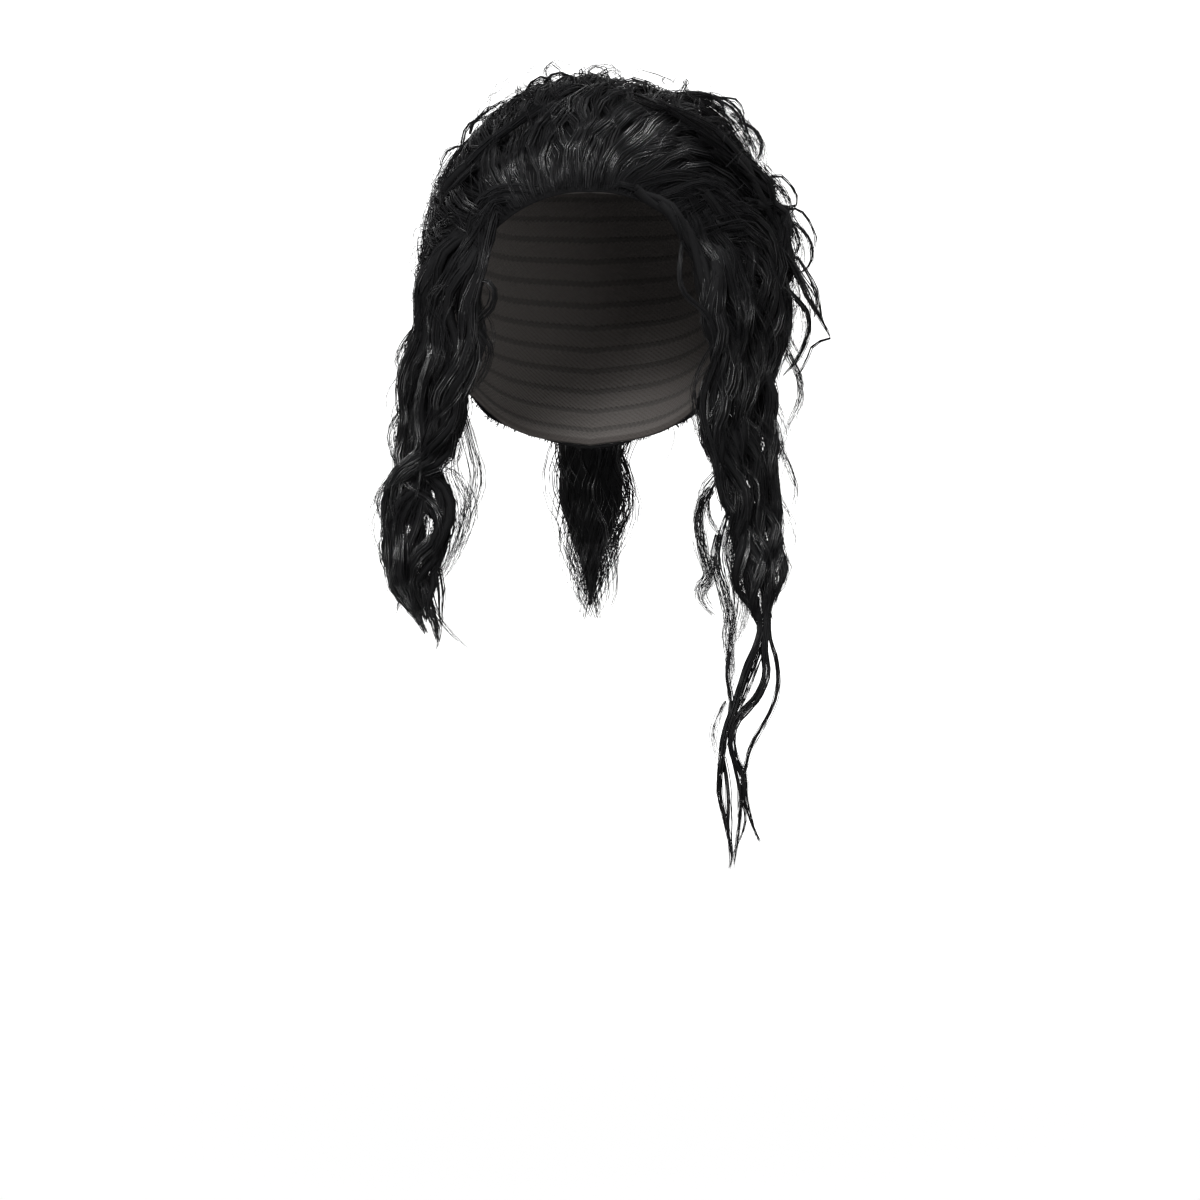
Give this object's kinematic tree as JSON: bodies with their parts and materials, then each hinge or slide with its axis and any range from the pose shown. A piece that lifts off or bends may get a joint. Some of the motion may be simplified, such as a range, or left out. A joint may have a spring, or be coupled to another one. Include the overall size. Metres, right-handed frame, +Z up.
{
  "type": "wavy wig with ponytail",
  "caption": "Black wavy wig on a stretch cap, hair swept back to a tied ponytail, with a loose wavy lock at each temple and a curl beside the face.",
  "frame": {"origin": "top of the cap's hollow, where the crown of the wearer's head rests", "axes": "+Z up, -Y the way the face looks, +X the wig's long-lock side"},
  "size_m": [0.2198, 0.2593, 0.391],
  "materials": {
    "hair": "satin",
    "cap": "matte",
    "tie": "matte"
  },
  "bodies": {
    "root": {"wig_cap": "cap", "crown_hair": "hair", "short_sidelock": "hair", "long_sidelock": "hair", "temple_tendril": "hair", "hair_tie": "tie", "ponytail": "hair"}
  },
  "joints": []
}
